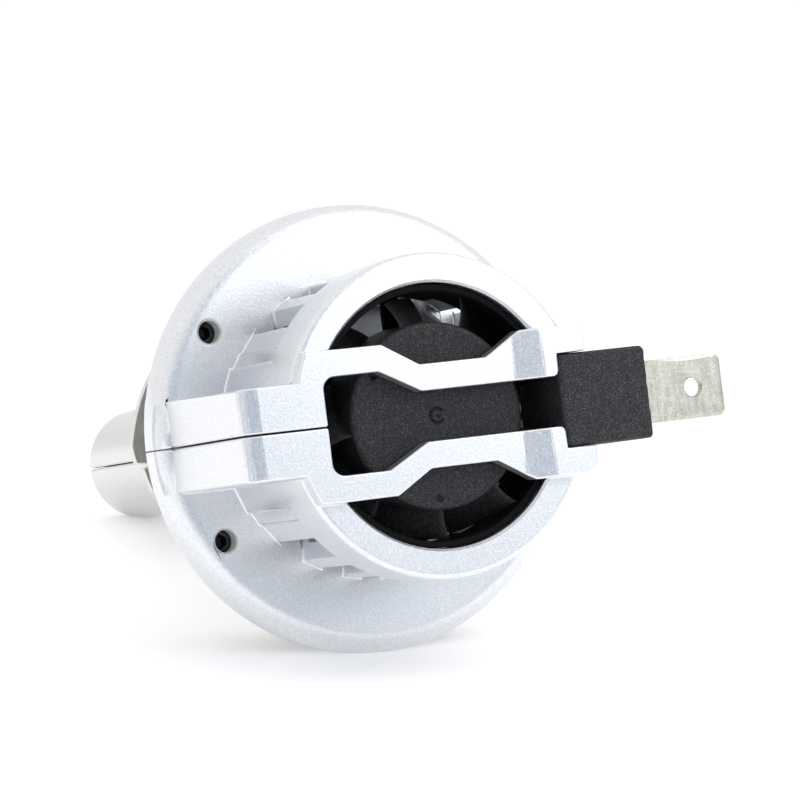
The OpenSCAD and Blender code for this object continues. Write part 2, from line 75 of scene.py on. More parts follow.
class Pin:
    """An output socket in a material. +, -, * and / on it add Math nodes, and node() adds any other."""

    def __init__(self, tree, socket=None):
        self.tree, self.socket = tree, socket

    def node(self, kind, settings, links, out=0):
        """Adds a node: its settings and a ramp's stops first, then values or links into its sockets."""
        n = self.tree.nodes.new(kind)
        for key, value in settings.items():
            if key == "stops":
                ends = n.color_ramp.elements
                for i, (at, colour) in enumerate([value[0], value[-1]] + value[1:-1]):
                    e = ends[i] if i < 2 else ends.new(at)
                    e.position, e.color = at, (*colour, 1)
            else:
                setattr(n, key, value)
        for key, value in links.items():
            if isinstance(value, Pin):
                self.tree.links.new(value.socket, n.inputs[key])
            else:
                n.inputs[key].default_value = value
        return Pin(self.tree, n.outputs[out])

    def math(self, operation, a, b=0.0, clamp=False):
        return self.node("ShaderNodeMath", {"operation": operation, "use_clamp": clamp}, {0: a, 1: b})

    def __add__(self, other):
        return self.math("ADD", self, other)

    def __mul__(self, other):
        return self.math("MULTIPLY", self, other)

    def __sub__(self, other):
        return self.math("SUBTRACT", self, other)

    def __rsub__(self, other):
        return self.math("SUBTRACT", other, self)

    def __truediv__(self, other):
        return self.math("DIVIDE", self, other)

    __radd__, __rmul__ = __add__, __mul__

    def noise(self, scale, detail=2.0, rough=0.5, stretch=(1, 1, 1)):
        """Smooth noise with `scale` lumps to a metre, read on the object's own coordinates."""
        at = self.node("ShaderNodeMapping", {}, {"Vector": self, "Scale": stretch})
        values = {"Vector": at, "Scale": scale, "Detail": detail, "Roughness": rough}
        return at.node("ShaderNodeTexNoise", {}, values)

    def step(self, low, high):
        """0 below low, 1 above high, and smooth between them."""
        smooth = {"interpolation_type": "SMOOTHSTEP"}
        return self.node("ShaderNodeMapRange", smooth, {0: self, 1: low, 2: high})

    def mix(self, a, b):
        """Colour a where this pin is 0 and colour b where it is 1."""
        colour = [c if isinstance(c, Pin) else (*c, 1) for c in (a, b)]
        return self.node("ShaderNodeMix", {"data_type": "RGBA"}, {0: self, 6: colour[0], 7: colour[1]}, out=2)


def finish(name, **constants):
    """A new material: the material, a function that feeds pins to its shader, and its coordinates.
    The constants are set on the shader's own sockets."""
    made = bpy.data.materials.new(name)
    made.use_nodes = True
    tree = made.node_tree
    shader = tree.nodes["Principled BSDF"]
    for key, value in constants.items():
        shader.inputs[key.replace("_", " ")].default_value = value
    place = Pin(tree).node("ShaderNodeTexCoord", {}, {}, out="Object")

    def feed(colour=None, rough=None, bump=None, height=0.00002, metal=None):
        """Links colour, roughness and metal, and turns a bump pin that runs from 0 to 1 into a relief
        `height` metres deep."""
        for key, pin in (("Base Color", colour), ("Roughness", rough), ("Metallic", metal)):
            if pin is not None:
                tree.links.new(pin.socket, shader.inputs[key])
        if bump is not None:
            relief = place.node("ShaderNodeBump", {}, {"Strength": 1.0, "Distance": height, "Height": bump})
            tree.links.new(relief.socket, shader.inputs["Normal"])

    return made, feed, place


def dress(piece, material, slot, body, *nodes):
    """Gives a piece its material and its body, and hides the frame's nodes that it stands for. The slot is
    not used.
    """
    piece.data.materials.clear()
    piece.data.materials.append(material)
    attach(piece, body)
    if nodes:
        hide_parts(*nodes)
    return piece


def eased(node, name, width, angle=28, segments=2, leave=lambda p: False):
    """A copy of a frame node, its loose triangles joined and its flat faces made whole. An edge is
    crisp where it turns by more than `angle`, or by more than 6 degrees between two faces that are
    each over 0.6 mm wide (area / edge length). A crisp edge is broken by `width` mm where its faces
    have the room, but not at places that leave(point) names."""
    slight_turn, wide_face, room_needed = math.radians(6), 0.6 * MM, 1.1 * width * MM
    shell = bmesh.new()
    shell.from_mesh(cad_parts[node].data)
    bmesh.ops.remove_doubles(shell, verts=shell.verts, dist=2e-7)
    bmesh.ops.dissolve_limit(shell, angle_limit=math.radians(0.6), verts=shell.verts, edges=shell.edges)
    weight = shell.edges.layers.float.new("bevel_weight_edge")
    for e in (e for e in shell.edges if len(e.link_faces) == 2):
        turn = e.calc_face_angle(0)
        room = min(f.calc_area() for f in e.link_faces) / max(e.calc_length(), 1e-7)
        middle = (e.verts[0].co + e.verts[1].co) / 2
        e.smooth = turn < math.radians(angle) and (turn < slight_turn or room < wide_face)
        e[weight] = float(not e.smooth and room > room_needed and not leave(middle))
    mesh = bpy.data.meshes.new(name)
    for f in shell.faces:
        f.smooth = True
    shell.to_mesh(mesh)
    shell.free()
    piece = bpy.data.objects.new(name, mesh)
    bpy.context.scene.collection.objects.link(piece)
    edge = piece.modifiers.new("edges", "BEVEL")
    edge.width, edge.segments, edge.limit_method = width * 0.001, segments, "WEIGHT"
    edge.miter_outer, edge.use_clamp_overlap = "MITER_SHARP", False
    piece.modifiers.new("flats", "WEIGHTED_NORMAL").keep_sharp = True
    return piece


zinc, feed, place = finish("zinc_plate", Metallic=1.0)
haze = place.noise(900, 3)
feed(colour=haze.step(0.25, 0.8).mix((0.70, 0.68, 0.63), (0.78, 0.77, 0.73)),
     rough=haze * 0.2 + 0.34, bump=place.noise(5200, 2), height=0.000006)
dress(eased("mounting_collar", "collar", 0.10), zinc, "collar_steel", "collar", "mounting_collar")

# Boss seal: a black rubber ring that sits in the groove of the boss and holds the collar by
# friction. It is moulded, with a fine flash line round its middle.


def mm(node):
    """A frame node's lowest and highest corners in millimetres."""
    lo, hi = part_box(node)
    return np.array(lo) / MM, np.array(hi) / MM


def skin(name, *sheets, sharp=32):
    """A closed surface from grids of points in mm: neighbouring points become quads, points shared at
    seams and poles are joined, and the normals are turned outwards. A grid's two indexes are its two
    parameters."""
    sheets = [np.asarray(s, float) for s in sheets]
    start = np.cumsum([0] + [s.shape[0] * s.shape[1] for s in sheets])
    quads = []
    for s, k in zip(sheets, start):
        i = np.arange(s.shape[0] * s.shape[1]).reshape(s.shape[:2]) + k
        quads.append(np.stack([i[:-1, :-1], i[1:, :-1], i[1:, 1:], i[:-1, 1:]], -1).reshape(-1, 4))
    points, quads = np.concatenate([s.reshape(-1, 3) for s in sheets]) * MM, np.concatenate(quads)
    mesh = bpy.data.meshes.new(name)
    mesh.vertices.add(len(points))
    mesh.vertices.foreach_set("co", points.ravel())
    mesh.loops.add(quads.size)
    mesh.loops.foreach_set("vertex_index", quads.ravel())
    mesh.polygons.add(len(quads))
    mesh.polygons.foreach_set("loop_start", np.arange(len(quads)) * 4)
    mesh.update(calc_edges=True)
    shell = bmesh.new()
    shell.from_mesh(mesh)
    bmesh.ops.remove_doubles(shell, verts=shell.verts, dist=1e-7)
    bmesh.ops.dissolve_degenerate(shell, edges=shell.edges, dist=1e-8)
    bmesh.ops.recalc_face_normals(shell, faces=shell.faces)
    shell.to_mesh(mesh)
    shell.free()
    mesh.shade_smooth()
    mesh.set_sharp_from_angle(angle=math.radians(sharp))
    piece = bpy.data.objects.new(name, mesh)
    bpy.context.scene.collection.objects.link(piece)
    return piece


def turned(profile, n=96, centre=(0, 0), ripple=None):
    """A profile of (radius, y) carried round an axis along Y: x = cx + r cos t, z = cz + r sin t.
    ripple(r, t, y) may give new r and y."""
    r, y = np.asarray(profile, float).T[:, :, None]
    t = np.linspace(0, 2 * np.pi, n + 1)[None]
    r, y = np.broadcast_arrays(r + 0 * t, y + 0 * t)
    if ripple:
        r, y = ripple(r, t + 0 * r, y)
    out = np.stack([centre[0] + r * np.cos(t), y + 0 * t, centre[1] + r * np.sin(t)], -1)
    out[:, -1] = out[:, 0]
    return out


lo, hi = mm("boss_seal_ring")
cord = (hi[1] - lo[1]) / 2
around = np.linspace(0, 2 * np.pi, 25)
seal = np.stack([(hi[0] - lo[0]) / 2 - cord + (cord + 0.03 * (np.abs(np.sin(around)) < 0.1)) * np.cos(around),
                 (lo[1] + hi[1]) / 2 + cord * np.sin(around)], -1)
rubber, feed, place = finish("seal_rubber")
bloom = place.noise(700, 3)
feed(colour=bloom.mix((0.012, 0.012, 0.013), (0.03, 0.03, 0.031)), rough=bloom * 0.25 + 0.55,
     bump=place.noise(9000, 2), height=0.000008)
dress(skin("boss_seal", turned(seal, 160)), rubber, "seal_rubber", "bulb", "boss_seal_ring")

# Housing: two die-cast aluminium halves that meet on the seam, sandblasted and sprayed with a
# silver metallic lacquer. Their edges carry a fine radius from tumbling.
lacquer, feed, place = finish("silver_lacquer", Coat_Weight=0.15, Coat_Roughness=0.12)
flake = place.noise(4300, 3, 0.65)
spark = place.noise(9500, 1).step(0.60, 0.74)
cloud = place.noise(160, 3)
tone = cloud.mix((0.80, 0.81, 0.83), (0.86, 0.865, 0.88))
tone = flake.step(0.30, 0.72).mix((0.70, 0.71, 0.735), tone)
feed(colour=spark.mix(tone, (0.99, 0.99, 1.0)), rough=flake * 0.16 + 0.22 + cloud * 0.05,
     metal=0.93 + spark * 0.07, bump=flake + spark * 0.4, height=0.000018)


def by_pad(p):
    """True at the foot of the leg, whose narrow sloped faces leave no room for a rounded edge."""
    return p.x < -21.6 * MM and abs(p.z) < 4.8 * MM


for side in ("upper", "lower"):
    shell = eased(f"{side}_housing", f"housing_{side}", 0.18, leave=by_pad)
    dress(shell, lacquer, "cast_body", "bulb", f"{side}_housing")

# Stem: two turned and milled aluminium halves that clamp the copper core, brushed bright. They
# are held together by one small screw near the root.
bright, feed, place = finish("brushed_stem", Metallic=1.0)
lines = place.noise(9000, 2, stretch=(1, 0.03, 1))
feed(colour=lines.mix((0.60, 0.60, 0.60), (0.72, 0.72, 0.72)), rough=lines * 0.14 + 0.16,
     bump=lines, height=0.000004)
for side in ("upper", "lower"):
    dress(eased(f"stem_{side}", f"stem_shell_{side}", 0.25), bright, "stem_metal", "bulb", f"stem_{side}")

# Core: a copper plate that carries the chips on both sides and takes their heat down to the
# housing. It is stamped, and has a thin dull oxide.
copper, feed, place = finish("core_copper", Metallic=1.0)
oxide = place.noise(450, 4)
feed(colour=oxide.step(0.3, 0.75).mix((0.70, 0.33, 0.20), (0.42, 0.19, 0.12)),
     rough=oxide * 0.3 + 0.22, bump=place.noise(6000, 2), height=0.000005)
dress(eased("led_core", "copper_core", 0.06), copper, "core_copper", "bulb", "led_core")

# LED rows: seven chips to a side on a white ceramic strip, each under a yellow phosphor dome.
# The strips are soldered to the core behind the stem's windows.


def loaf(lo, hi, round_, n=6, swell=None, axis=0):
    """A box with rounded edges: a rounded rectangle carried along one axis, drawn in by
    round_(1 - sin a) as it nears each end, and closed to the end's middle. swell(points) may move the
    points."""
    lo, hi = np.roll(np.asarray(lo, float), -axis), np.roll(np.asarray(hi, float), -axis)
    a = np.linspace(0, np.pi / 2, n)
    caps, along, across = 8, 24, 12
    rise, fall = round_ * (1 - np.cos(a)), round_ * (1 - np.sin(a))
    between = np.linspace(lo[0] + round_, hi[0] - round_, along + 2)[1:-1]
    x = np.concatenate([[lo[0]] * caps, lo[0] + rise, between, hi[0] - fall, [hi[0]] * caps])
    drawn_in = np.concatenate([[round_] * caps, fall, np.zeros(along), rise, [round_] * caps])
    closing = np.linspace(0, 1, caps + 1)
    closed = np.concatenate([closing[:-1], np.ones(2 * n + along), closing[::-1][1:]])
    hy, hz = (hi[1] - lo[1]) / 2, (hi[2] - lo[2]) / 2
    side = np.linspace(-1, 1, across + 2)[1:-1]
    rows = []
    for q, (sy, sz) in enumerate([(1, 1), (-1, 1), (-1, -1), (1, -1)]):
        t = a + q * np.pi / 2
        corner = [sy * (hy - round_) + round_ * np.cos(t), sz * (hz - round_) + round_ * np.sin(t)]
        if q % 2 == 0:
            flat = [-sy * side * (hy - round_), np.full(across, sz * hz)]
        else:
            flat = [np.full(across, sy * hy), -sz * side * (hz - round_)]
        rows += [np.stack(corner, -1), np.stack(flat, -1)]
    rows = np.concatenate(rows + [rows[0][:1]])
    shrink = 1 - drawn_in[:, None, None] / np.array([hy, hz])
    yz = rows[None] * shrink * closed[:, None, None] + (lo + hi)[1:] / 2
    out = np.concatenate([np.broadcast_to(x[:, None, None], yz.shape[:2] + (1,)), yz], -1)
    if swell:
        out = swell(out)
    return np.roll(out, axis, -1)


def dome(centre, size, up, n=20):
    """A low lens on a rounded square: z = up h (1 - v^4)^(1/2), where v runs from 0 in the middle to 1 on
    the squircle x^4 + y^4 = 1. It is closed underneath."""
    u, v = np.linspace(0, 2 * np.pi, 2 * n + 1)[None], np.linspace(0, 1, n)[:, None]
    c, s = np.cos(u), np.sin(u)
    reach = 1 / (np.abs(c) ** 4 + np.abs(s) ** 4) ** 0.25
    x, y, flat = size[0] * reach * c, size[1] * reach * s, 0 * u + 0 * v
    crown = up * size[2] * np.sqrt(1 - v ** 4)
    top = np.stack([centre[0] + v * x, centre[1] + v * y, centre[2] + crown + flat], -1)
    foot = np.stack([centre[0] + (1 - v) * x, centre[1] + (1 - v) * y, centre[2] + flat], -1)
    out = np.concatenate([top, foot[1:]])
    out[:, -1] = out[:, 0]
    return out


ceramic, feed, place = finish("chip_ceramic")
grain = place.noise(2500, 3)
feed(colour=grain.mix((0.80, 0.80, 0.77), (0.90, 0.90, 0.88)), rough=grain * 0.2 + 0.35,
     bump=grain, height=0.000006)
phosphor, feed, place = finish("phosphor_gel", Coat_Weight=0.4, Coat_Roughness=0.15)
gel = place.noise(3200, 3)
feed(colour=gel.mix((0.86, 0.62, 0.07), (0.95, 0.78, 0.20)), rough=gel * 0.2 + 0.25,
     bump=gel, height=0.00001)
chip_pitch, chip_half_w, chip_half_l, chip_t, strip_t = 2.1, 1.1, 0.85, 0.28, 0.35
gel_size, below_strip = (0.88, 0.64, 0.16), 0.22
for side, up in (("upper", 1), ("lower", -1)):
    lo, hi = mm(f"leds_{side}")
    seat, crest = (lo[2], hi[2]) if up > 0 else (hi[2], lo[2])
    strip_z = sorted((seat, seat + up * strip_t))
    chip_z = strip_z[0] - below_strip * (up < 0)
    places = [(lo[1] + hi[1]) / 2 + i * chip_pitch for i in range(-3, 4)]
    chips = [loaf((-chip_half_w, y - chip_half_l, chip_z),
                  (chip_half_w, y + chip_half_l, chip_z + chip_t), 0.05, 3) for y in places]
    strip = loaf((lo[0], lo[1], strip_z[0]), (hi[0], hi[1], strip_z[1]), 0.06, 3, axis=1)
    dress(skin(f"chip_strip_{side}", strip, *chips), ceramic, "phosphor", "bulb", f"leds_{side}")
    gels = [dome((0, y, crest - up * gel_size[2]), gel_size, up) for y in places]
    dress(skin(f"phosphor_{side}", *gels), phosphor, "phosphor", "bulb")

# Driver board: a round green board across the barrel, slotted for the core's tongue. It is
# glass-epoxy with a gloss solder mask over copper tracks.
board, feed, place = finish("board_green", Coat_Weight=0.5, Coat_Roughness=0.12)
laid = place.node("ShaderNodeMapping", {}, {"Vector": place, "Rotation": (math.pi / 2, 0, 0.4)})
tracks = place.node("ShaderNodeTexBrick", {"offset": 0.5, "squash": 1.0},
                    {"Vector": laid, "Scale": 480.0, "Mortar Size": 0.035, "Mortar": (1, 1, 1, 1),
                     "Color1": (0, 0, 0, 1), "Color2": (0.25, 0.25, 0.25, 1)})
speck = place.noise(3500, 3)
feed(colour=(tracks * 0.7 + speck * 0.2).mix((0.012, 0.085, 0.03), (0.05, 0.22, 0.08)),
     rough=speck * 0.15 + 0.22, bump=tracks * 0.6 + speck * 0.3, height=0.00003)
dress(eased("driver_board", "driver_disc", 0.05), board, "board_green", "bulb", "driver_board")

# Driver parts: a can capacitor, a switching chip on gull-wing legs, an inductor, two chip
# capacitors and a resistor, soldered to the board's front face.


def rounded(corners, radius, k=6):
    """A path whose corners are eased: each becomes the curve (1-t)^2 A + 2t(1-t) B + t^2 C, which
    starts and ends `radius` from it."""
    p = np.asarray(corners, float)
    t, most = np.linspace(0, 1, k)[:, None], 0.49
    out = [p[:1]]
    for a, b, c in zip(p[:-2], p[1:-1], p[2:]):
        start = b + (a - b) * min(radius / np.linalg.norm(a - b), most)
        stop = b + (c - b) * min(radius / np.linalg.norm(c - b), most)
        out.append((1 - t) ** 2 * start + 2 * t * (1 - t) * b + t ** 2 * stop)
    return np.concatenate(out + [p[-1:]])


def carried(path, radius, n=20, flat=1.0):
    """A round section carried along a path and closed at both ends: P = path + r(cos t N + flat sin t B),
    where N and B are square to the path's direction and N stays as near as it can to one fixed way."""
    p = np.asarray(path, float)
    way = np.gradient(p, axis=0)
    way /= np.linalg.norm(way, axis=1, keepdims=True)
    fixed = np.array([0.31, 0.22, 0.92])
    side = np.cross(way, fixed)
    side /= np.linalg.norm(side, axis=1, keepdims=True)
    up = np.cross(side, way)
    t = np.linspace(0, 2 * np.pi, n + 1)[None, :, None]
    out = p[:, None] + radius * (np.cos(t) * side[:, None] + flat * np.sin(t) * up[:, None])
    out = np.concatenate([np.repeat(p[:1, None], n + 1, 1), out, np.repeat(p[-1:, None], n + 1, 1)])
    out[:, -1] = out[:, 0]
    return out


def gull_wing(x, z, s):
    """A flat leg that leaves the package at z, steps down to the board and ends on it at z - 0.7 s."""
    high, low = y0 + 0.5, y0 + 0.06
    bends = [(x, high, z), (x, high, z - s * 0.25), (x, low, z - s * 0.4), (x, low, z - s * 0.7)]
    return carried(rounded(bends, 0.12, 4), 0.13, 8, 0.5)


y0, can_r = mm("driver_parts")[0][1], 2.3
groove = [(can_r, y0 + 0.5), (can_r - 0.14, y0 + 0.62), (can_r, y0 + 0.74)]
lid = [(can_r, y0 + 3.15), (can_r - 0.3, y0 + 3.2), (can_r - 0.4, y0 + 3.12), (0, y0 + 3.12)]
can = rounded([(0, y0), (can_r, y0)] + groove + lid, 0.12, 4)
legs = [gull_wing(x, z, s) for s, z in ((1, -5.55), (-1, -2.45)) for x in (-2.7, -1.6, -0.5, 0.6, 1.2)]
dark, feed, place = finish("parts_black")
mould = place.noise(5200, 2)
feed(colour=mould.mix((0.012, 0.012, 0.013), (0.035, 0.035, 0.036)), rough=mould * 0.2 + 0.42,
     bump=mould, height=0.000008)
switch_chip = loaf((-3.2, y0 + 0.1, -5.6), (1.6, y0 + 1.3, -2.4), 0.12, 4)
inductor = loaf((4.6, y0, 1.4), (6.6, y0 + 1.6, 3.2), 0.3, 5)
resistor = loaf((-6.4, y0, -1.6), (-5.2, y0 + 0.8, 0.2), 0.08, 3)
packages = skin("driver_packages", switch_chip, inductor, resistor)
dress(packages, dark, "parts_black", "bulb", "driver_parts")
plated, feed, place = finish("can_and_legs", Metallic=1.0)
wipe = place.noise(2600, 3)
feed(colour=wipe.mix((0.62, 0.62, 0.61), (0.80, 0.80, 0.79)), rough=wipe * 0.2 + 0.2,
     bump=wipe, height=0.000005)
chip_caps = [loaf((3.4, y0, -4.6), (5.2, y0 + 1.0, -3.4), 0.1, 3),
             loaf((-6.8, y0, 1.2), (-4.2, y0 + 1.2, 3.4), 0.15, 4)]
tinned = skin("driver_can_and_legs", turned(can, 48, (0, 4.6)), *chip_caps, *legs)
dress(tinned, plated, "parts_black", "bulb")

# Fan frame: a black glass-filled nylon tube pushed into the ring, with a base plate, six
# struts and side openings, and a tube that holds the bearing. It is injection moulded.
nylon_and_shade, feed, place = finish("frame_nylon_and_shade", Specular_IOR_Level=0.1)
matt = place.noise(4200, 3)
# The black is deepened below the nylon's own colour: painted shade for the dim bore round the rotor.
feed(colour=matt.mix((0.0015, 0.0015, 0.002), (0.006, 0.006, 0.0065)), rough=matt * 0.2 + 0.55,
     bump=matt, height=0.00001)
dress(eased("fan_frame", "fan_frame_shell", 0.08), nylon_and_shade, "frame_black", "bulb", "fan_frame")

# Rotor: a black moulded cup with nine swept blades. Its closed end is spark-textured and carries
# a small sunk ring with a dot, and two round balancing dimples.
lo, hi = mm("fan_rotor")
hub_y, cup_y, tip_r = lo[1], hi[1], (hi[0] - lo[0]) / 2
hub_r, edge_r, blade_count = 9.15, 0.5, 9
bore_r, floor_y = hub_r - 0.95, hub_y + 1.0


def face_marks(r, t, y):
    """Relief of the closed end: y sinks by 0.26 in a C-shaped ring of radius 0.72 and in a dot, and by
    0.4 in two round dimples."""
    x, z = r * np.cos(t), r * np.sin(t)
    flat = (y < hub_y + 0.02)
    opening = 1 / (1 + np.exp(-(np.abs(np.arctan2(z - 0.05, x)) - 0.5) * 9))
    ring = np.exp(-((np.hypot(x, z) - 0.72) / 0.13) ** 2) * opening
    dot = np.exp(-(np.hypot(x - 0.1, z + 0.05) / 0.2) ** 2)
    dimples = sum(1 / (1 + np.exp((np.hypot(x - a, z - b) - 0.34) * 26))
                  for a, b in ((-0.79, -7.97), (-6.28, 4.49)))
    return r, y + flat * (0.26 * (ring + dot) + 0.4 * dimples)


fine = np.concatenate([np.linspace(0, 1.6, 26), np.linspace(1.6, hub_r - edge_r, 78)[1:]])
bend = np.linspace(-np.pi / 2, 0, 6)
face = np.stack([fine, np.full(len(fine), hub_y)], -1)
edge = np.stack([hub_r - edge_r + edge_r * np.cos(bend), hub_y + edge_r + edge_r * np.sin(bend)], -1)
wall = [(hub_r, cup_y - 0.1), (hub_r - 0.1, cup_y), (bore_r + 0.1, cup_y), (bore_r, cup_y - 0.1),
        (bore_r, floor_y), (0, floor_y)]
cup = np.concatenate([face, edge[1:], wall])


def blade(angle, n=26, m=14):
    """One swept blade: a thin curved section carried outwards from the hub. Along its chord c, from rear
    to front, it leans round the hub by 5.4 (c - 0.16 sin(pi c)) mm, and it is 0.2 + 0.52 sin(pi c)^0.5
    mm thick."""
    c = np.linspace(0, 1, n)
    loop = np.concatenate([c, c[::-1][1:], c[:1]])
    side = np.concatenate([np.ones(n), -np.ones(n - 1), [1]])[None]
    half = (0.10 + 0.26 * np.sin(np.pi * loop) ** 0.5)[None] * side
    r = np.linspace(hub_r - 0.3, tip_r, m)[:, None]
    reach = (r - hub_r + 0.3) / (tip_r - hub_r + 0.3)
    lean = 5.4 * (loop - 0.16 * np.sin(np.pi * loop))[None] + half * 0.75
    turn = angle - lean / r + 0.05 * reach ** 2
    y = hub_y + 0.35 + 0.25 * reach ** 2 + loop[None] * (cup_y - hub_y - 0.6 - 0.35 * reach) + half * 0.65
    out = np.stack([r * np.cos(turn), y, r * np.sin(turn)], -1)
    tip, root = out[-1:].mean(1, keepdims=True), out[:1].mean(1, keepdims=True)
    out = np.concatenate([root + 0 * out[:1], out, tip + 0 * out[:1]])
    out[:, -1] = out[:, 0]
    return out


spark_black, feed, place = finish("rotor_spark_texture", Specular_IOR_Level=0.26)
pits = place.noise(5200, 3, 0.7)
# The glint specks are painted highlights: light grey dots in the black that stand in for the spark texture's
# sparkle.
painted_glint = place.noise(12500, 1).step(0.58, 0.74)
skin_black = pits.step(0.35, 0.7).mix((0.005, 0.005, 0.006), (0.026, 0.026, 0.028))
feed(colour=painted_glint.mix(skin_black, (0.15, 0.15, 0.16)), rough=pits * 0.25 + 0.36,
     bump=pits + painted_glint * 0.5, height=0.00003)
blades = [blade(math.radians(26.3 + i * 360 / blade_count)) for i in range(blade_count)]
hub = skin("rotor_cup", turned(cup, 220, ripple=face_marks))
dress(hub, spark_black, "rotor_black", "rotor", "fan_rotor")
dress(skin("rotor_blades", *blades), spark_black, "rotor_black", "rotor")

# Magnet, shaft and bearing: a bonded ferrite ring glued in the cup, a ground steel shaft pressed
# into it, and the sintered bronze sleeve that the shaft runs in.


def band(inner, outer, y0, y1, ease, k=4):
    """A ring's section as (radius, y): a rectangle with eased corners, begun and ended at mid-bore."""
    middle = (y0 + y1) / 2
    corners = [(inner, middle), (inner, y0), (outer, y0), (outer, y1), (inner, y1), (inner, middle)]
    return rounded(corners, ease, k)


ferrite, feed, place = finish("ferrite")
chalk = place.noise(3000, 4)
feed(colour=chalk.mix((0.05, 0.05, 0.052), (0.12, 0.12, 0.12)), rough=chalk * 0.3 + 0.55,
     bump=chalk, height=0.00001)
lo, hi = mm("fan_magnet")
magnet_r, magnet_wall = (hi[0] - lo[0]) / 2, 0.84
magnet = band(magnet_r - magnet_wall, magnet_r, lo[1], hi[1], 0.1)
dress(skin("magnet_ring", turned(magnet, 96)), ferrite, "magnet_grey", "rotor", "fan_magnet")
ground, feed, place = finish("ground_steel", Metallic=1.0)
rings = place.noise(8000, 2, stretch=(0.05, 1, 0.05))
feed(colour=rings.mix((0.58, 0.58, 0.58), (0.72, 0.72, 0.72)), rough=rings * 0.12 + 0.1,
     bump=rings, height=0.000002)
lo, hi = mm("fan_shaft")
shaft_r = (hi[0] - lo[0]) / 2
shaft = rounded([(0, lo[1]), (shaft_r, lo[1]), (shaft_r, hi[1]), (0, hi[1])], 0.15, 5)
dress(skin("rotor_shaft", turned(shaft, 32)), ground, "shaft_steel", "rotor", "fan_shaft")
bronze, feed, place = finish("sintered_bronze", Metallic=1.0)
pores = place.noise(7000, 4)
feed(colour=pores.mix((0.30, 0.19, 0.08), (0.55, 0.38, 0.18)), rough=pores * 0.3 + 0.3,
     bump=pores, height=0.00001)
lo, hi = mm("fan_bearing")
sleeve_r, running_gap = (hi[0] - lo[0]) / 2, 0.04
sleeve = band(shaft_r + running_gap, sleeve_r, lo[1], hi[1], 0.12)
dress(skin("bearing_sleeve", turned(sleeve, 48)), bronze, "bearing_bronze", "bulb", "fan_bearing")

# Stator, coils and fan board: a stack of stamped steel sheets on the bearing tube, four windings
# of enamelled wire, and the small board that switches them.
sheets, feed, place = finish("stator_sheets", Metallic=1.0)
edges = place.node("ShaderNodeTexWave", {"wave_type": "BANDS", "bands_direction": "Y"},
                   {"Vector": place, "Scale": 450.0, "Distortion": 0.3})
feed(colour=edges.mix((0.16, 0.17, 0.19), (0.42, 0.43, 0.45)), rough=0.5 - edges * 0.15,
     bump=edges, height=0.00003)
dress(eased("fan_stator", "stator_stack", 0.04), sheets, "stator_steel", "bulb", "fan_stator")


def winding(angle, lo_y, hi_y, r0, r1, half, n=40):
    """A wound bobbin: a rounded rectangle in z and y, carried out along a spoke from r0 to r1 and rippled
    by the wire: s = s0 (1 - 0.07 |cos(14 pi u)|), with u from 0 to 1 along the spoke."""
    u = np.linspace(0, 1, 113)[:, None]
    t = np.linspace(0, 2 * np.pi, n + 1)[None]
    grow = 1 - 0.07 * np.abs(np.cos(14 * np.pi * u))
    power = 0.55
    z = half * np.sign(np.cos(t)) * np.abs(np.cos(t)) ** power * grow
    y = (lo_y + hi_y) / 2 + (hi_y - lo_y) / 2 * np.sign(np.sin(t)) * np.abs(np.sin(t)) ** power * grow
    x = r0 + (r1 - r0) * u + 0 * t
    shell = np.stack([x, y, z], -1)
    hole = shell.copy()
    hole[..., 2] *= 0.56
    hole[..., 1] = (lo_y + hi_y) / 2 + (hole[..., 1] - (lo_y + hi_y) / 2) * 0.70
    out = np.concatenate([shell, hole[::-1], shell[:1]])
    c, s = math.cos(angle), math.sin(angle)
    out = np.stack([out[..., 0] * c - out[..., 2] * s, out[..., 1], out[..., 0] * s + out[..., 2] * c], -1)
    out[:, -1] = out[:, 0]
    return out


enamel, feed, place = finish("enamelled_wire", Metallic=0.7, Coat_Weight=0.6, Coat_Roughness=0.1)
hue = place.noise(1400, 3)
feed(colour=hue.mix((0.50, 0.17, 0.07), (0.72, 0.30, 0.13)), rough=hue * 0.15 + 0.2,
     bump=place.noise(6000, 2), height=0.000004)
lo, hi = mm("fan_coils")
coil_root, coil_end, coil_half = 3.6, (hi[0] - lo[0]) / 2, 1.7
coils = [winding(q * math.pi / 2, lo[1], hi[1], coil_root, coil_end, coil_half) for q in range(4)]
dress(skin("coils", *coils), enamel, "coil_wire", "bulb", "fan_coils")
lo, hi = mm("fan_board")
fan_board_bore, fan_board_r = 2.45, (hi[0] - lo[0]) / 2
ring = band(fan_board_bore, fan_board_r, lo[1], hi[1], 0.05, 3)
dress(skin("fan_circuit", turned(ring, 72)), board, "board_green", "bulb", "fan_board")

# Terminal block: a cube of black moulded plastic that the arms grip, with a fine spark texture,
# slightly uneven edges and a faint parting line across its rear face.
lo, hi = mm("terminal_block")


def moulded(p):
    """Moves the block's points a little: the edges wander by sine waves of 0.035 mm, and the parting
    line stands 0.045 mm proud a little above mid-height."""
    x, y, z = p[..., 0], p[..., 1], p[..., 2]
    mid = (lo + hi) / 2
    wave = 0.035 * np.sin(x * 2.3 + z * 1.1) * np.sin(z * 1.9 + 0.6) + 0.02 * np.sin(z * 5.1 + x)
    line = 0.045 * np.exp(-((z - 0.25 + 0.02 * np.sin(3 * x)) / 0.07) ** 2)
    rear = np.clip((mid[1] - y) / (mid[1] - lo[1]), 0, 1) ** 4
    right = np.clip((x - mid[0]) / (hi[0] - mid[0]), 0, 1) ** 6
    moved = [x - right * (0.03 + wave), y + rear * (0.04 + wave * 0.5 - line), z - 0.03 * np.sign(z) * rear]
    return np.stack(moved, -1)


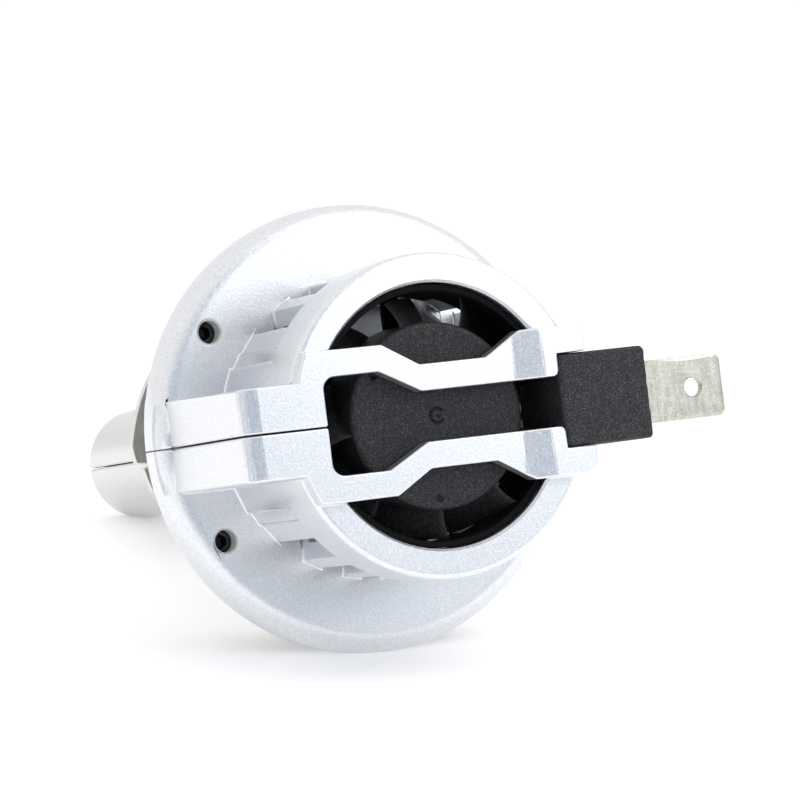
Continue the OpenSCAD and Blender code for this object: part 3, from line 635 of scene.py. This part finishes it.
spark_block, feed, place = finish("block_spark_texture", Specular_IOR_Level=0.27)
pits = place.noise(4300, 3, 0.7)
# The glint specks are painted highlights: light grey dots in the black that stand in for the spark texture's
# sparkle.
painted_glint = place.noise(11500, 1).step(0.58, 0.74)
block_black = pits.step(0.3, 0.7).mix((0.006, 0.006, 0.007), (0.029, 0.029, 0.031))
feed(colour=painted_glint.mix(block_black, (0.17, 0.17, 0.18)), rough=pits * 0.25 + 0.38,
     bump=pits + painted_glint * 0.4, height=0.00004)
dress(skin("block", loaf(lo, hi, 0.48, 8, moulded)), spark_block, "block_black", "bulb", "terminal_block")

# Spade blade: a 6.3 by 0.8 mm tab stamped from brass and tin plated, moulded into the block. Its
# corners are rounded, its edges are coined, and it has a round detent hole near the tip.
lo, hi = mm("spade_blade")
tip, hole_r, round_, blade_t = hi[0], 0.95, 0.8, 0.8
hole, half = np.array([tip - 3.5, 0.0]), (hi[2] - lo[2]) / 2


def tab(n=420):
    """A flat ring: the angle a goes round the hole, and the outline's distance is the least over the
    sides of d / cos(a - the side's angle), or at a rounded corner the far root of |r u - c| = R. The
    section goes over the top, down the coined edge, back underneath and up the hole's wall."""
    sides = [(0.0, tip - hole[0]), (90.0, half), (180.0, hole[0] - lo[0]), (270.0, half)]
    back = [math.atan2(z, lo[0] - hole[0]) % (2 * math.pi) for z in (half, -half)]
    a = np.unique(np.concatenate([np.linspace(0, 2 * np.pi, n + 1), back]))
    away = np.stack([d / np.maximum(np.cos(a - math.radians(deg)), 1e-4) for deg, d in sides]).min(0)
    u = np.stack([np.cos(a), np.abs(np.sin(a))])
    corner = np.array([tip - round_ - hole[0], half - round_])
    inside = (away * u[0] > corner[0]) & (away * u[1] > corner[1])
    ahead = corner @ u
    reach = np.sqrt(np.maximum(ahead ** 2 - corner @ corner + round_ ** 2, 0))
    away = np.where(inside, ahead + reach, away)
    coin, eased_mouth = 0.42, 0.10
    top = [(f, coin, 0.0) for f in np.linspace(0, 1, 9)]
    edge = [(1, 0.05, 0.17), (1, 0, 0.26), (1, 0, 0.54), (1, 0.05, 0.63)]
    under = [(f, coin, blade_t) for f in np.linspace(1, 0, 9)]
    bore = [(0, -1, 0.70), (0, -1, 0.10), (0, coin, 0.0)]
    out = []
    for f, inset, depth in top + edge + under + bore:
        mouth = hole_r + eased_mouth * (inset >= 0)
        r = mouth * (1 - f) + (away - inset) * f
        out.append(np.stack([hole[0] + r * np.cos(a), 0 * a + lo[1] + depth, hole[1] + r * np.sin(a)], -1))
    out = np.stack(out)
    out[:, -1] = out[:, 0]
    return out


tin, feed, place = finish("tin_plate", Metallic=1.0)
drag = place.noise(1500, 4, 0.6, stretch=(1, 1, 0.25))
dull = place.noise(2600, 4, 0.7)
dots = place.noise(7500, 2).step(0.58, 0.74)
worn_tin = drag.step(0.3, 0.7).mix((0.40, 0.40, 0.34), (0.58, 0.58, 0.51))
feed(colour=dots.mix(worn_tin, (0.80, 0.80, 0.74)), rough=dull * 0.28 + drag * 0.14 + 0.14,
     bump=dull + drag * 0.8, height=0.00003)
dress(skin("blade", tab(), sharp=24), tin, "blade_tin", "bulb", "spade_blade")

# Inner leads: two black insulated wires from the block through the barrel to the driver board.
# Their stripped ends are hidden in the block and in the solder.
lo, hi = mm("inner_leads")
wire_r, wire_bend, wire_z = 0.42, 0.9, 0.85
inner_x, outer_x = lo[0] + wire_r, hi[0] - wire_r
turn_y = mm("driver_board")[0][1] - 0.6
sheath, feed, place = finish("lead_insulation", Coat_Weight=0.2, Coat_Roughness=0.3)
scuff = place.noise(2200, 3)
feed(colour=scuff.mix((0.012, 0.012, 0.013), (0.03, 0.03, 0.032)), rough=scuff * 0.2 + 0.35,
     bump=scuff, height=0.000008)
leads = []
for z in (-wire_z, wire_z):
    route = [(outer_x, lo[1], z), (outer_x, turn_y, z), (inner_x, turn_y, z), (inner_x, hi[1], z)]
    leads.append(carried(rounded(route, wire_bend, 9), wire_r, 22))
dress(skin("leads", *leads), sheath, "lead_black", "bulb", "inner_leads")

# Grub screws: two black-oxide set screws with hexagon sockets, sunk in the flange. They press on
# the collar and lock it once the lamp is aimed.


def threaded(centre, y0, y1, r, pitch, depth, n=64):
    """A cut thread: r(y, t) = r - depth |2 frac((y - y0) / pitch - t / 2 pi) - 1|, which runs out into its
    root over one pitch at each end."""
    rows = np.linspace(y0, y1, int((y1 - y0) / pitch * 10))[:, None]
    t = np.linspace(0, 2 * np.pi, n + 1)[None]
    saw = np.abs(2 * (((rows - y0) / pitch - t / (2 * np.pi)) % 1) - 1)
    fade = np.clip(np.minimum(rows - y0, y1 - rows) / pitch, 0, 1)
    radius = r - depth * (1 - fade * (1 - saw))
    out = np.stack([centre[0] + radius * np.cos(t), rows + 0 * t, centre[1] + radius * np.sin(t)], -1)
    out[:, -1] = out[:, 0]
    return out


def ring_rows(centre, rows, n=64):
    """Plain rings (radius or a function of the angle, y) round an axis along Y, as a grid with a row to
    each ring."""
    t = np.linspace(0, 2 * np.pi, n + 1)
    radius = np.stack([r(t) if callable(r) else np.full(n + 1, float(r)) for r, y in rows])
    level = np.array([y for r, y in rows])[:, None] + 0 * radius
    out = np.stack([centre[0] + radius * np.cos(t), level, centre[1] + radius * np.sin(t)], -1)
    out[:, -1] = out[:, 0]
    return out


def hexagon(flat):
    """Distance from a hexagon's middle to its side at angle t: flat / cos(((t + 30) mod 60) - 30 degrees)."""
    return lambda t: flat / np.cos((t + np.pi / 6) % (np.pi / 3) - np.pi / 6)


oxide, feed, place = finish("black_oxide", Metallic=0.6)
rub = place.noise(3000, 4)
feed(colour=rub.mix((0.010, 0.010, 0.011), (0.045, 0.045, 0.05)), rough=rub * 0.25 + 0.28,
     bump=rub, height=0.000008)
pitch, thread_depth, neck, point_len = 0.45, 0.10, 0.2, 0.5
for side in ("upper", "lower"):
    lo, hi = mm(f"grub_screw_{side}")
    c, r = ((lo[0] + hi[0]) / 2, (lo[2] + hi[2]) / 2), (hi[0] - lo[0]) / 2
    top, end, root = lo[1], hi[1], r - thread_depth
    socket = [(0, top + 1.6), (hexagon(0.30), top + 1.58), (hexagon(0.62), top + 1.5),
              (hexagon(0.66), top + 0.06)]
    rim = [(0.80, top + 0.02), (0.84, top), (r - 0.2, top), (r - 0.12, top + 0.05), (root, top + neck)]
    point = [(root, end - point_len), (r - 0.35, end - 0.34), (r - 0.35, end - 0.06),
             (r - 0.42, end), (0, end)]
    thread = threaded(c, top + neck, end - point_len, r, pitch, thread_depth)
    whole = np.concatenate([ring_rows(c, socket + rim), thread, ring_rows(c, point)])
    screw = skin(f"grub_{side}", whole, sharp=38)
    dress(screw, oxide, "grub_black", f"grub_{side}", f"grub_screw_{side}")

# Tapped walls: the bare aluminium that the tap left in each grub hole where it cut through the lacquer,
# with a fine chamfer at the mouth. The walls glow faintly: a painted light for the light that reaches
# into the hole. The thread is shallow, so the screw passes it.
cut_metal_and_glow, feed, place = finish("cut_aluminium_and_glow", Metallic=0.55, Emission_Color=(0.9, 0.9, 0.88, 1),
                                Emission_Strength=0.10)
swarf = place.noise(5000, 2)
feed(colour=swarf.mix((0.50, 0.50, 0.50), (0.72, 0.72, 0.71)), rough=swarf * 0.2 + 0.25,
     bump=swarf, height=0.000004)
screw_gap, sunk, tap_pitch, tap_depth = 0.05, 1.5, 0.36, 0.034
for side in ("upper", "lower"):
    lo, hi = mm(f"grub_screw_{side}")
    c, r = ((lo[0] + hi[0]) / 2, (lo[2] + hi[2]) / 2), (hi[0] - lo[0]) / 2 + screw_gap
    mouth, base = lo[1] - sunk, lo[1] + 0.02
    outer = ring_rows(c, [(r + 0.02, base), (r + 0.02, mouth + 0.12), (r + 0.07, mouth - 0.006),
                          (r + 0.04, mouth - 0.01), (r, mouth + 0.1)])
    inner = threaded(c, mouth + 0.1, base, r - 0.006, tap_pitch, tap_depth)
    wall = skin(f"tapped_wall_{side}", np.concatenate([outer, inner, outer[:1]]), sharp=50)
    dress(wall, cut_metal_and_glow, "cast_body", "bulb")

# Case and stem screws: zinc-plated pan heads with cross recesses. Two close the housing through
# the leg and one closes the stem, all put in from below.


def cross_screw(x, y, z0, r_head, h_head, r_body, length, n=72):
    """A pan-head screw along Z: the head's crown is z = h sqrt(1 - 0.55 (r / R)^2) seen from below, pressed
    in by a cross recess whose depth is d exp(-(u / w)^4) along each arm, and the body is a fine thread."""
    t = np.linspace(0, 2 * np.pi, n + 1)
    r = np.linspace(0, r_head, 44)[:, None]
    u, v = r * np.cos(t), r * np.sin(t)
    rim_share = math.sqrt(0.45)
    swell = (np.sqrt(1 - 0.55 * (r / r_head) ** 2) - rim_share) / (1 - rim_share)
    crown = h_head * (0.55 + 0.45 * swell)
    arm, arm_w = 0.62 * r_head, 0.14 * r_head
    recess = np.maximum(*[np.exp(-(p / arm_w) ** 4) / (1 + np.exp((np.abs(q) - arm) * 14 / r_head))
                          for p, q in ((u, v), (v, u))])
    top = np.stack([x + u, y + v, z0 + h_head - crown + 0.55 * h_head * recess], -1)
    shank, pitch, depth = length - h_head, 0.45, 0.12
    rows = np.linspace(0, 1, int(shank / 0.05))[:, None]
    saw = np.abs(2 * ((rows * shank / pitch - t / (2 * np.pi)) % 1) - 1)
    rad = r_body - depth * saw * np.clip((1 - rows) * 12, 0, 1) * np.clip(rows * 12, 0, 1)
    body = np.stack([x + rad * np.cos(t), y + rad * np.sin(t), z0 + h_head + rows * shank + 0 * t], -1)
    rim = np.stack([x + r_head * np.cos(t), y + r_head * np.sin(t), np.full(n + 1, z0 + h_head)], -1)[None]
    point = np.stack([x + 0 * t, y + 0 * t, np.full(n + 1, z0 + length)], -1)[None]
    out = np.concatenate([top, rim, body, point])
    out[:, -1] = out[:, 0]
    return out


lo, hi = mm("case_screws")
x, r_head, length = (lo[0] + hi[0]) / 2, (hi[0] - lo[0]) / 2, hi[2] - lo[2]
pair = [cross_screw(x, y, lo[2], r_head, h_head=1.4, r_body=1.0, length=length)
        for y in (lo[1] + r_head, hi[1] - r_head)]
dress(skin("case_screw_pair", *pair), zinc, "screw_steel", "bulb", "case_screws")
lo, hi = mm("stem_screws")
x, y, r_head = (lo[0] + hi[0]) / 2, (lo[1] + hi[1]) / 2, (hi[0] - lo[0]) / 2
small = cross_screw(x, y, lo[2], r_head, h_head=1.1, r_body=0.8, length=hi[2] - lo[2])
dress(skin("stem_screw", small), zinc, "screw_steel", "bulb", "stem_screws")

# Stand: a round pale board that the bulb leans on with its flange's rim and its stem's tip. It
# isn't part of the bulb.
stem_lo, stem_hi = mm("stem_lower")
low = np.array([0.0, -8.0, mm("lower_housing")[0][2] - 0.05])
far = np.array([0.0, stem_hi[1] - 1.0, stem_lo[2] + 0.3])
run = (far - low) / np.linalg.norm(far - low)
across = np.cross(run, np.cross(np.array([1.0, 0, -0.06]), run))
across /= np.linalg.norm(across)
stand_r, stand_t, ahead = 260, 3.0, 20
r = np.linspace(0, stand_r, 40)[:, None, None]
t = np.linspace(0, 2 * np.pi, 121)[None, :, None]
disc = low + ahead * run + r * (np.cos(t) * run + np.sin(t) * across)
under = disc - np.cross(across, run) * stand_t
stand = skin("stand_board", np.concatenate([disc, under[::-1]]))
pale, feed, place = finish("pale_board", Specular_IOR_Level=0.1, Emission_Color=(1, 1, 1, 1),
                           Emission_Strength=0.26)
soft = place.noise(60, 3)
feed(colour=soft.mix((0.93, 0.93, 0.935), (0.95, 0.95, 0.95)), rough=soft * 0.1 + 0.7,
     bump=place.noise(3000, 2), height=0.000003)
stand.data.materials.append(pale)

# Studio: white all round, with a soft grey-blue field behind and a little below the camera, which
# the flat rear faces mirror. Two lamps light the bulb from the right.
world = bpy.data.worlds.new("studio")
world.use_nodes = True
bpy.context.scene.world = world
sky = Pin(world.node_tree)
way = sky.node("ShaderNodeTexCoord", {}, {}, out="Generated")
grey_side = (-0.10, -0.97, -0.22)
lean = way.node("ShaderNodeVectorMath", {"operation": "DOT_PRODUCT"}, {0: way, 1: grey_side}, out="Value")
studio_white = (1.02, 1.02, 1.03)
greys = [(0.84, (0.61, 0.68, 0.76)), (0.93, (0.46, 0.54, 0.63)), (1.0, (0.40, 0.48, 0.57))]
sweep = [(0.0, studio_white), (0.58, studio_white)] + greys
glow = lean.node("ShaderNodeValToRGB", {"stops": sweep}, {0: lean})
background = world.node_tree.nodes["Background"]
world.node_tree.links.new(glow.socket, background.inputs["Color"])
background.inputs["Strength"].default_value = 1.0
bpy.context.scene.view_settings.view_transform = "Standard"


def softbox(name, at, size, power, shape="SQUARE"):
    """An area lamp at a place in mm, turned to face the bulb and itself unseen."""
    lamp = bpy.data.objects.new(name, bpy.data.lights.new(name, "AREA"))
    bpy.context.scene.collection.objects.link(lamp)
    lamp.data.shape, lamp.data.size, lamp.data.energy = shape, size * MM, power
    lamp.location = Vector(at) * MM
    lamp.rotation_euler = (Vector((0, -10 * MM, 0)) - lamp.location).to_track_quat("-Z", "Y").to_euler()
    lamp.visible_camera = False
    return lamp


softbox("key", (330, -330, 420), 320, 0.6)
softbox("near", (84, -168, 50), 110, 0.043, "DISK")
